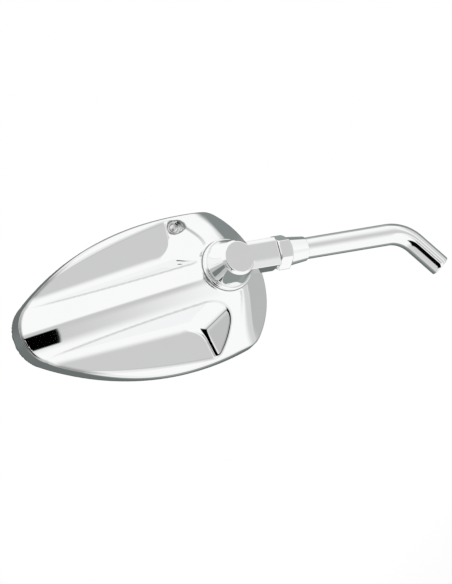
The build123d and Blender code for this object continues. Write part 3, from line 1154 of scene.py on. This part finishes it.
@dataclass
class Knuckle(FormedPiece):
    """Flat topped cone with its eight sided arm, bored for the stem and the stud."""

    name: ClassVar[str] = "knuckle_cast"
    node: ClassVar[str] = "knuckle"
    slot: ClassVar[str] = "chrome_knuckle"
    body: ClassVar[Body] = Body.ARM

    arm_along: Point
    top_r: float = 10.0
    base_r: float = 13.4
    bottom: float = BaseRing.top + RUNNING_GAP
    skirt: float = 1.0
    axis_height: float = Layout.axis_height
    above_axis: float = 7.6
    top_bevel: float = 1.2
    arm_reach: float = 25.1
    arm_flat: Span = (-5.7, 3.7)
    arm_half: float = 8.0
    arm_bevel: float = 1.1
    arm_low_half: float = 8.4
    under: float = 6.3
    under_bevel: float = 0.9
    end_bevel: float = 0.5
    spigot_r: float = 5.05
    spigot_floor: float = 11.5
    stud_r: float = 4.05
    stud_depth: float = 10.0
    edge_round: float = 0.25
    joint_fillet: float = 0.5
    step: Point = (0.4, 0.4, 0.4)

    def form(self, points: np.ndarray) -> np.ndarray:
        """Distance outside the knuckle.

        Args:
            points: points in the pivot's frame.

        Returns:
            One distance for each point.
        """
        x, y, z = np.moveaxis(points, -1, 0)
        edge = self.edge_round
        top = self.axis_height + self.above_axis
        radius = np.hypot(x, y)
        skirt_top = (self.base_r, self.bottom + self.skirt)
        shoulder = (self.top_r, top - self.top_bevel)
        cone = round_max(radius - self.base_r, slant(radius, z, skirt_top, shoulder), edge)
        cone = round_max(cone, slant(radius, z, shoulder, (self.top_r - self.top_bevel, top)), edge)
        cone = round_max(cone, self.bottom - z, edge)
        along = x * self.arm_along[0] + y * self.arm_along[1]
        sideways = x * self.arm_along[1] - y * self.arm_along[0]
        across = np.abs(sideways)
        height = z - self.axis_height
        corner = (self.arm_half, self.above_axis - self.arm_bevel)
        foot = (self.arm_low_half, self.under_bevel - self.under)
        near = slant(-sideways, height, corner, (-self.arm_flat[0], self.above_axis))
        far = slant(sideways, height, corner, (self.arm_flat[1], self.above_axis))
        upper = np.maximum(near, far)
        side = slant(across, height, foot, corner)
        lower = slant(across, height, (self.arm_low_half - self.under_bevel, -self.under), foot)
        arm = round_max(side, upper, edge)
        arm = round_max(round_max(arm, lower, edge), -self.under - height, edge)
        facets = np.maximum(np.maximum(side, upper), np.maximum(lower, height - self.above_axis))
        bevel = (facets + along - self.arm_reach + self.end_bevel) / math.sqrt(2)
        arm = round_max(arm, np.maximum(along - self.arm_reach, -along), edge)
        arm = round_max(arm, bevel, edge)
        solid = round_max(round_min(cone, arm, self.joint_fillet), height - self.above_axis, edge)
        from_axis = np.hypot(across, height)
        spigot = np.maximum(from_axis - self.spigot_r, self.spigot_floor - along)
        stud = np.maximum(radius - self.stud_r, z - self.bottom - self.stud_depth)
        return np.maximum(solid, -np.minimum(spigot, stud))

    def extent(self) -> tuple[Point, Point]:
        """Box round the cone and the arm.

        Returns:
            Its lowest and its highest corner.
        """
        end_x, end_y, _ = np.array(self.arm_along) * self.arm_reach
        top = self.axis_height + self.above_axis
        low = (min(-self.base_r, end_x - self.arm_low_half), -self.base_r, self.bottom)
        return low, (self.base_r, max(self.base_r, end_y + self.arm_low_half), top)


@dataclass
class JamNut(FormedPiece):
    """Hexagon against the knuckle's arm, with a tapered collar towards the stem."""

    name: ClassVar[str] = "lock_collar"
    node: ClassVar[str] = "jam_nut"
    slot: ClassVar[str] = "chrome_nut"
    body: ClassVar[Body] = Body.STEM

    flats: float = 17.0
    start: float = Knuckle.arm_reach + RUNNING_GAP
    hex_length: float = 7.5
    taper_length: float = 11.3
    large_r: float = 8.1
    small_r: float = 6.8
    corner_edge: float = 0.9
    corner_angle: float = 30.0
    bore_r: float = Knuckle.spigot_r
    edge_round: float = 0.25
    collar_fillet: float = 0.4
    step: Point = (0.4, 0.4, 0.4)

    @property
    def corner_r(self) -> float:
        """Radius over the hexagon's corners."""
        return self.flats / math.sqrt(3)

    def form(self, points: np.ndarray) -> np.ndarray:
        """Distance outside the nut.

        Args:
            points: points in the arm's frame.

        Returns:
            One distance for each point.
        """
        x, y, z = np.moveaxis(points, -1, 0)
        edge = self.edge_round
        radius = np.hypot(x, y)
        hex_end = self.start + self.hex_length
        end = hex_end + self.taper_length
        face_r = self.corner_r - self.corner_edge
        rise = self.corner_edge * math.tan(math.radians(self.corner_angle))
        first, second, third = across_flats(x, y, self.flats)
        hexagon = round_max(round_max(first, second, edge), third, edge)
        near = slant(radius, z, (face_r, self.start), (self.corner_r, self.start + rise))
        far = slant(radius, z, (self.corner_r, hex_end - rise), (face_r, hex_end))
        hexagon = round_max(round_max(hexagon, near, edge), far, edge)
        hexagon = round_max(hexagon, np.maximum(self.start - z, z - hex_end), edge)
        taper = slant(radius, z, (self.large_r, hex_end), (self.small_r, end))
        collar = round_max(taper, np.maximum(hex_end - self.corner_edge - z, z - end), edge)
        solid = round_min(hexagon, collar, self.collar_fillet)
        return np.maximum(solid, self.bore_r - radius)

    def extent(self) -> tuple[Point, Point]:
        """Lowest and highest corner of the box round the nut."""
        reach, end = self.corner_r, self.start + self.hex_length + self.taper_length
        return (-reach, -reach, self.start), (reach, reach, end)


@dataclass
class BentStem:
    """Bent rod with a tapped hole in its lower end and a spigot for the knuckle."""

    radius: float = 6.0
    short_leg: float = 28.7
    long_leg: float = 105.7
    turn: float = 51.4
    bend_r: float = 20.0
    end_edge: float = 0.5
    core_r: float = 3.4
    thread_depth: float = 0.6
    thread_pitch: float = 1.25
    hole_depth: float = 18.0
    drill_point: float = 31.0
    shoulder: float = Knuckle.arm_reach + JamNut.hex_length + JamNut.taper_length
    spigot_r: float = 5.0
    spigot_end: float = 12.0
    spigot_edge: float = 1.0
    closing_r: float = 0.01
    sharp_angle: float = 35.0
    around: int = 128
    bend_rows: int = 60
    edge_rows: int = 4
    pitch_rows: int = 10

    @property
    def setback(self) -> float:
        """Length of each leg that the bend takes up."""
        return self.bend_r * math.tan(math.radians(self.turn) / 2)

    def line(self, distance: np.ndarray) -> tuple[np.ndarray, np.ndarray]:
        """Middle line of the rod.

        Args:
            distance: distance along it from the lower end.

        Returns:
            Points on it and its direction there.
        """
        turn = math.radians(self.turn)
        straight = self.short_leg - self.setback
        bent = np.clip((distance - straight) / self.bend_r, 0, turn)
        after = np.maximum(distance - straight - self.bend_r * turn, 0)
        x = -self.bend_r * (1 - np.cos(bent)) - np.sin(turn) * after
        z = np.minimum(distance, straight) + self.bend_r * np.sin(bent) + np.cos(turn) * after
        points = np.stack((x, np.zeros_like(x), z), axis=-1)
        return points, np.stack((-np.sin(bent), np.zeros_like(x), np.cos(bent)), axis=-1)

    def length_to(self, from_pivot: float) -> float:
        """Distance along the rod of a place that far from the pivot."""
        legs = self.short_leg + self.long_leg - 2 * self.setback
        return legs + self.bend_r * math.radians(self.turn) - from_pivot

    def rows(self) -> list[Point]:
        """Rings of the rod, from the bottom of its hole to the spigot's end.

        Returns:
            Distance along the rod, radius and depth of thread of each ring.
        """
        shoulder, top = self.length_to(self.shoulder), self.length_to(self.spigot_end)
        point = self.core_r * math.tan(math.radians(self.drill_point))
        bore = np.arange(self.hole_depth, 0, -self.thread_pitch / self.pitch_rows)
        fade = np.clip(np.minimum(bore, self.hole_depth - bore) / self.thread_pitch, 0, 1)
        rings = [(self.hole_depth + point, self.closing_r, 0.0)]
        rings += [(float(s), self.core_r, self.thread_depth * float(f)) for s, f in zip(bore, fade)]
        rings += [(0.0, self.core_r, 0.0)]
        rings += [(0.0, self.radius - self.end_edge, 0.0)]
        for share in np.linspace(0, math.pi / 2, self.edge_rows):
            inset = self.end_edge * (1 - math.sin(share))
            rings.append((self.end_edge * (1 - math.cos(share)), self.radius - inset, 0.0))
        body = np.linspace(self.end_edge, shoulder, self.bend_rows + 2)[1:]
        rings += [(float(s), self.radius, 0.0) for s in body]
        rings += [(shoulder, self.spigot_r, 0.0), (top - self.spigot_edge, self.spigot_r, 0.0)]
        return rings + [(top, self.spigot_r - self.spigot_edge, 0.0), (top, self.closing_r, 0.0)]

    def build(self, finish: Metal) -> bpy.types.Object:
        """Sweeps the rings along the rod's line and dresses it.

        Args:
            finish: its chrome.

        Returns:
            The stem's object.
        """
        distance, radius, thread = np.array(self.rows()).T
        middle, along = self.line(distance)
        turn = np.linspace(0, 2 * math.pi, self.around, endpoint=False)
        phase = (distance[:, None] / self.thread_pitch - turn[None] / (2 * math.pi)) % 1
        reach = radius[:, None] + thread[:, None] * (1 - np.abs(2 * phase - 1))
        side = np.array((0.0, 1.0, 0.0))
        out = np.cross(side, along)
        spoke = out[:, None] * np.cos(turn)[None, :, None] + side * np.sin(turn)[None, :, None]
        vertices = (middle[:, None] + spoke * reach[..., None]).reshape(-1, 3)
        faces = strip_faces(len(distance), self.around, False)
        piece = smooth_piece("bent_rod", vertices * MM, faces)
        piece.data.set_sharp_from_angle(angle=math.radians(self.sharp_angle))
        return finish_piece(piece, ("stem",), Body.STEM, finish.material())


@dataclass(frozen=True)
class InnerParts:
    """Pieces inside the head that keep their solids and only get a finish."""

    finishes: dict[str, Metal | Moulded]

    def dress(self, nodes: dict[str, bpy.types.Object]) -> None:
        """Gives each solid its material.

        Args:
            nodes: objects of the frame by name.
        """
        made = {finish.name: finish.material() for finish in self.finishes.values()}
        for name, finish in self.finishes.items():
            nodes[name].data.materials.clear()
            nodes[name].data.materials.append(made[finish.name])
            log.info("%s: dressed in %s", name, finish.name)


# Studio


@dataclass(frozen=True)
class Edge:
    """Soft edge of a panel: how far along a direction it is still outside and already inside.

    Directions are in the head's frame: towards the tip, the low side and the back.
    """

    towards: Point
    outside: float
    inside: float


@dataclass(frozen=True)
class Panel:
    """Grey or black panel round the studio, seen only in reflections and bounded by its edges."""

    level: float
    edges: tuple[Edge, ...]


WHITE = (1.0, 1.0, 1.0)
TIP = (1.0, 0.0, 0.0)
STEM = (-1.0, 0.0, 0.0)
SIDE = (0.0, 1.0, 0.0)
BACK = (0.0, 0.0, 1.0)
GLASS = (0.0, 0.0, -1.0)
ACROSS_FLAG = (0.973, -0.232, 0.0)
STEM_HIGH = (-0.82, -0.53, -0.22)
STEM_LOW = (-0.97, 0.08, -0.24)
TIP_BACK = (0.95, 0.1, 0.3)
TIP_LOW = (0.93, 0.3, 0.2)
BEHIND = Edge(BACK, 0.0, 0.2)
FLOOR_PATCH = (
    Edge(TIP, -0.64, -0.6),
    Edge(TIP, -0.38, -0.42),
    Edge(SIDE, -0.8, -0.15),
    Edge(SIDE, 0.7, -0.1),
    BEHIND,
)
LOW_SPINE_PATCH = (
    Edge(TIP, -0.42, -0.14),
    Edge(TIP, -0.08, -0.1),
    Edge(SIDE, -0.19, -0.13),
    Edge(SIDE, 0.26, 0.08),
    BEHIND,
)
HIGH_SPINE_PATCH = (
    Edge(TIP, -0.4, -0.3),
    Edge(TIP, -0.08, -0.1),
    Edge(SIDE, -0.19, -0.14),
    Edge(SIDE, -0.02, -0.14),
    BEHIND,
)
TIP_PATCH = (
    Edge(TIP, -0.142, -0.138),
    Edge(TIP, -0.07, -0.09),
    Edge(SIDE, -0.12, -0.1),
    Edge(SIDE, 0.17, 0.14),
    BEHIND,
)
CAMERA_FLAG = (
    Edge(ACROSS_FLAG, -0.02, 0.04),
    Edge(ACROSS_FLAG, 0.46, 0.4),
    Edge(SIDE, -0.2, -0.1),
    Edge(SIDE, 0.75, 0.65),
    Edge(BACK, 0.3, 0.4),
)


@dataclass(frozen=True)
class CameraStand:
    """Camera at the picture's angle, with a long lens: degrees, and shifts within the picture."""

    azimuth: float = -28.33
    elevation: float = 8.51
    roll: float = -48.77
    shift_right: float = -118.3
    shift_up: float = -14.2
    frame_height: float = 321.2
    middle_depth: float = 35.0
    distance: float = 12000.0

    def build(self) -> bpy.types.Object:
        """Sets up the camera.

        Returns:
            The camera's object.
        """
        angles = (self.azimuth, self.elevation, self.roll)
        azimuth, elevation, roll = (math.radians(angle) for angle in angles)
        flat = math.cos(elevation)
        back = Vector((math.sin(azimuth) * flat, -math.cos(azimuth) * flat, math.sin(elevation)))
        level = Vector((math.cos(azimuth), math.sin(azimuth), 0.0))
        upright = back.cross(level)
        right = level * math.cos(roll) + upright * math.sin(roll)
        up = back.cross(right)
        data = bpy.data.cameras.new("camera")
        data.lens = data.sensor_width * self.distance / self.frame_height
        camera = bpy.data.objects.new("camera", data)
        depth = self.middle_depth + self.distance
        place = (right * self.shift_right + up * self.shift_up + back * depth) * MM
        camera.matrix_world = Matrix.Translation(place) @ Matrix((right, up, back)).transposed().to_4x4()
        bpy.context.scene.collection.objects.link(camera)
        bpy.context.scene.camera = camera
        return camera


@dataclass(frozen=True)
class Floor:
    """Pale round floor that keeps a soft shadow and cannot be seen from below."""

    drop: float = 350.0
    radius: float = 1600.0
    sides: int = 96
    tone: float = 0.9
    roughness: float = 0.9
    fade_from: float = 0.25
    least_white: float = 0.5

    def material(self) -> bpy.types.Material:
        """Makes the material: pale, white towards the floor's edge and clear from below.

        Returns:
            The new material.
        """
        shader = Shader("pale_floor")
        shader.set(base_color=(self.tone, self.tone, self.tone, 1.0), roughness=self.roughness)
        far = shader.node("ShaderNodeVectorMath", operation="LENGTH")
        shader.link(shader.node("ShaderNodeTexCoord").outputs["Object"], far.inputs[0])
        edge = self.radius * MM
        fade = shader.mapped(far.outputs["Value"], (edge * self.fade_from, edge), (self.least_white, 1.0))
        rays = shader.node("ShaderNodeLightPath")
        seen = shader.math("MULTIPLY", fade, rays.outputs[Ray.CAMERA.value])
        white = shader.node("ShaderNodeEmission").outputs["Emission"]
        pale = shader.mixed(seen, shader.surface.outputs["BSDF"], white)
        below = shader.node("ShaderNodeNewGeometry").outputs["Backfacing"]
        clear = shader.node("ShaderNodeBsdfTransparent").outputs["BSDF"]
        output = shader.tree.nodes["Material Output"]
        shader.link(shader.mixed(below, pale, clear), output.inputs["Surface"])
        return shader.material

    def build(self, under: Vector) -> bpy.types.Object:
        """Lays the floor.

        Args:
            under: lowest corner of the object.

        Returns:
            The floor's object.
        """
        turn = np.linspace(0, 2 * math.pi, self.sides, endpoint=False)
        ring = np.stack((np.cos(turn), np.sin(turn), np.zeros_like(turn)), axis=1) * self.radius * MM
        mesh = bpy.data.meshes.new("floor")
        mesh.from_pydata(ring.tolist(), [], [list(range(self.sides))])
        mesh.materials.append(self.material())
        floor = bpy.data.objects.new("floor", mesh)
        floor.location = (0.0, 0.0, under.z - self.drop * MM)
        floor.visible_glossy = False
        bpy.context.scene.collection.objects.link(floor)
        floor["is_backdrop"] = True
        return floor


@dataclass(frozen=True)
class Lamp:
    """Soft square lamp that faces the object and doesn't show in its reflections."""

    name: str
    towards: Point
    power: float
    size: float = 900.0
    distance: float = 1200.0

    def build(self, middle: Vector) -> bpy.types.Object:
        """Hangs the lamp.

        Args:
            middle: middle of the object.

        Returns:
            The lamp's object.
        """
        data = bpy.data.lights.new(self.name, "AREA")
        data.size = self.size * MM
        data.energy = self.power
        lamp = bpy.data.objects.new(self.name, data)
        offset = Vector(self.towards).normalized() * (self.distance * MM)
        lamp.location = middle + offset
        lamp.rotation_mode = "QUATERNION"
        lamp.rotation_quaternion = offset.to_track_quat("Z", "Y")
        lamp.visible_glossy = False
        bpy.context.scene.collection.objects.link(lamp)
        return lamp


class Sky(NodeSheet):
    """Nodes of the world, which give each direction its brightness."""

    def __init__(self, name: str) -> None:
        """Hangs an empty world round the scene.

        Args:
            name: name of the world.
        """
        world = bpy.data.worlds.new(name)
        world.use_nodes = True
        bpy.context.scene.world = world
        super().__init__(world.node_tree)
        self.tree.nodes.clear()
        self.direction = self.node("ShaderNodeTexCoord").outputs["Generated"]
        self.rays = self.node("ShaderNodeLightPath").outputs

    def inside(self, panel: Panel, head: Placement) -> Value:
        """How far a direction lies inside a panel.

        Args:
            panel: the panel.
            head: frame of the head, which its edges are given in.

        Returns:
            Nought outside, one inside.
        """
        share = 1.0
        for edge in panel.edges:
            towards = np.array(edge.towards) / np.linalg.norm(edge.towards)
            along = self.node("ShaderNodeVectorMath", operation="DOT_PRODUCT")
            self.link(self.direction, along.inputs[0])
            along.inputs[1].default_value = head.directions(towards)
            span = (edge.outside, edge.inside)
            within = self.mapped(along.outputs["Value"], span, interpolation_type="SMOOTHSTEP")
            share = self.math("MULTIPLY", share, within)
        return share

    def faded(self, level: Value, target: float, share: Value) -> bpy.types.NodeSocket:
        """Takes a level over to a target by a share."""
        kept = self.math("MULTIPLY", level, self.math("SUBTRACT", 1.0, share))
        return self.math("ADD", kept, self.math("MULTIPLY", share, target))


@dataclass(frozen=True)
class Surroundings:
    """World that is white to the camera, panelled in reflections and pale to the rest."""

    sky_level: float = 0.6
    white_level: float = 1.0
    dark_tint: Colour = (0.9, 1.0, 0.98)
    tint_span: Span = (0.3, 0.55)
    panels: tuple[Panel, ...] = (
        Panel(0.68, (Edge(TIP, 0.4, 0.65), Edge(SIDE, -0.25, -0.05))),
        Panel(0.68, (Edge(STEM, 0.64, 0.82),)),
        Panel(0.3, (Edge(GLASS, 0.3, 0.5), Edge(SIDE, 0.0, 0.15))),
        Panel(0.35, (Edge(GLASS, 0.35, 0.5), Edge(STEM, 0.3, 0.4))),
        Panel(0.17, (Edge(GLASS, 0.68, 0.8),)),
        Panel(0.26, (Edge(STEM_HIGH, 0.88, 0.95), Edge(GLASS, -0.1, 0.1))),
        Panel(0.5, (Edge(STEM_LOW, 0.9, 0.96), Edge(GLASS, -0.1, 0.1))),
        Panel(0.55, (Edge(TIP_BACK, 0.8, 0.9), Edge(SIDE, -0.3, -0.1))),
        Panel(0.22, (Edge(TIP_LOW, 0.968, 0.982),)),
        Panel(0.63, FLOOR_PATCH),
        Panel(0.64, LOW_SPINE_PATCH),
        Panel(0.6, HIGH_SPINE_PATCH),
        Panel(0.0, TIP_PATCH),
        Panel(0.0, CAMERA_FLAG),
    )

    def build(self, head: Placement) -> None:
        """Makes the world.

        Args:
            head: frame of the head, which the panels are given in.
        """
        sky = Sky("studio")
        level = self.white_level
        for panel in self.panels:
            level = sky.faded(level, panel.level, sky.inside(panel, head))
        camera = sky.rays[Ray.CAMERA.value]
        mirrored = sky.math("MAXIMUM", sky.rays[Ray.GLOSSY.value], sky.rays[Ray.TRANSMISSION.value])
        shown = sky.faded(sky.math("MULTIPLY", level, mirrored), self.white_level, camera)
        other = sky.math("SUBTRACT", 1.0, sky.math("MAXIMUM", mirrored, camera))
        strength = sky.math("ADD", shown, sky.math("MULTIPLY", other, self.sky_level))
        tint = sky.node("ShaderNodeValToRGB")
        stops = zip(tint.color_ramp.elements, self.tint_span, (self.dark_tint, WHITE))
        for stop, position, colour in stops:
            stop.position = position
            stop.color = (*colour, 1.0)
        background = sky.node("ShaderNodeBackground")
        output = sky.node("ShaderNodeOutputWorld")
        sky.link(strength, tint.inputs["Fac"])
        sky.link(tint.outputs["Color"], background.inputs["Color"])
        sky.link(strength, background.inputs["Strength"])
        sky.link(background.outputs["Background"], output.inputs["Surface"])


@dataclass(frozen=True)
class Studio:
    """Camera, floor, lamps and surroundings."""

    camera: CameraStand = CameraStand()
    floor: Floor = Floor()
    lamps: tuple[Lamp, ...] = (
        Lamp("key", (-0.6, -0.7, 0.9), 9.0),
        Lamp("fill", (0.9, -0.5, 0.4), 4.0),
        Lamp("rear", (0.2, 0.9, 0.7), 6.0),
    )
    surroundings: Surroundings = Surroundings()

    def build(self, low: Vector, high: Vector, head: Placement) -> None:
        """Sets up the whole studio.

        Args:
            low: lowest corner of the object.
            high: highest corner of the object.
            head: frame of the head.
        """
        self.camera.build()
        self.floor.build(low)
        for lamp in self.lamps:
            lamp.build((low + high) / 2)
        self.surroundings.build(head)
        bpy.context.scene.view_settings.view_transform = "Standard"


def main() -> None:
    """Loads the frame, builds each sub-assembly and the studio, and notes the sizes."""
    logging.basicConfig(level=logging.INFO, format="%(name)s %(message)s")
    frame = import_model()
    low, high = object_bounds()
    places = Layout().frames(frame["joints"])
    HeadShell().build(places["head"], SHELL_CHROME)
    BaseRing().build(places["pivot"], PART_CHROME)
    CarrierScrew().build(places["head"], SCREW_STEEL)
    GlassSeal().build(places["head"], BLACK_RUBBER)
    arm_along = tuple(float(a) for a in places["pivot"].axes @ places["arm"].axes[2])
    Knuckle(arm_along).build(places["pivot"], PART_CHROME)
    JamNut().build(places["arm"], PART_CHROME)
    BentStem().build(STEM_CHROME)
    InnerParts(
        {
            "pivot_stud": PLATED_STEEL,
            "lock_nut": PLATED_STEEL,
            "thrust_washer": PLATED_STEEL,
            "disc_springs": SPRING_STEEL,
            "lock_insert": NYLON,
            "friction_washer": NYLON,
            "pivot_bush": BRONZE,
            "carrier_plate": BLACK_PLASTIC,
            "glass_pad": FOAM,
            "mirror_glass": SILVERED_GLASS,
        }
    ).dress(frame["nodes"])
    Studio().build(low, high, places["head"])


if __name__ == "__main__":
    main()
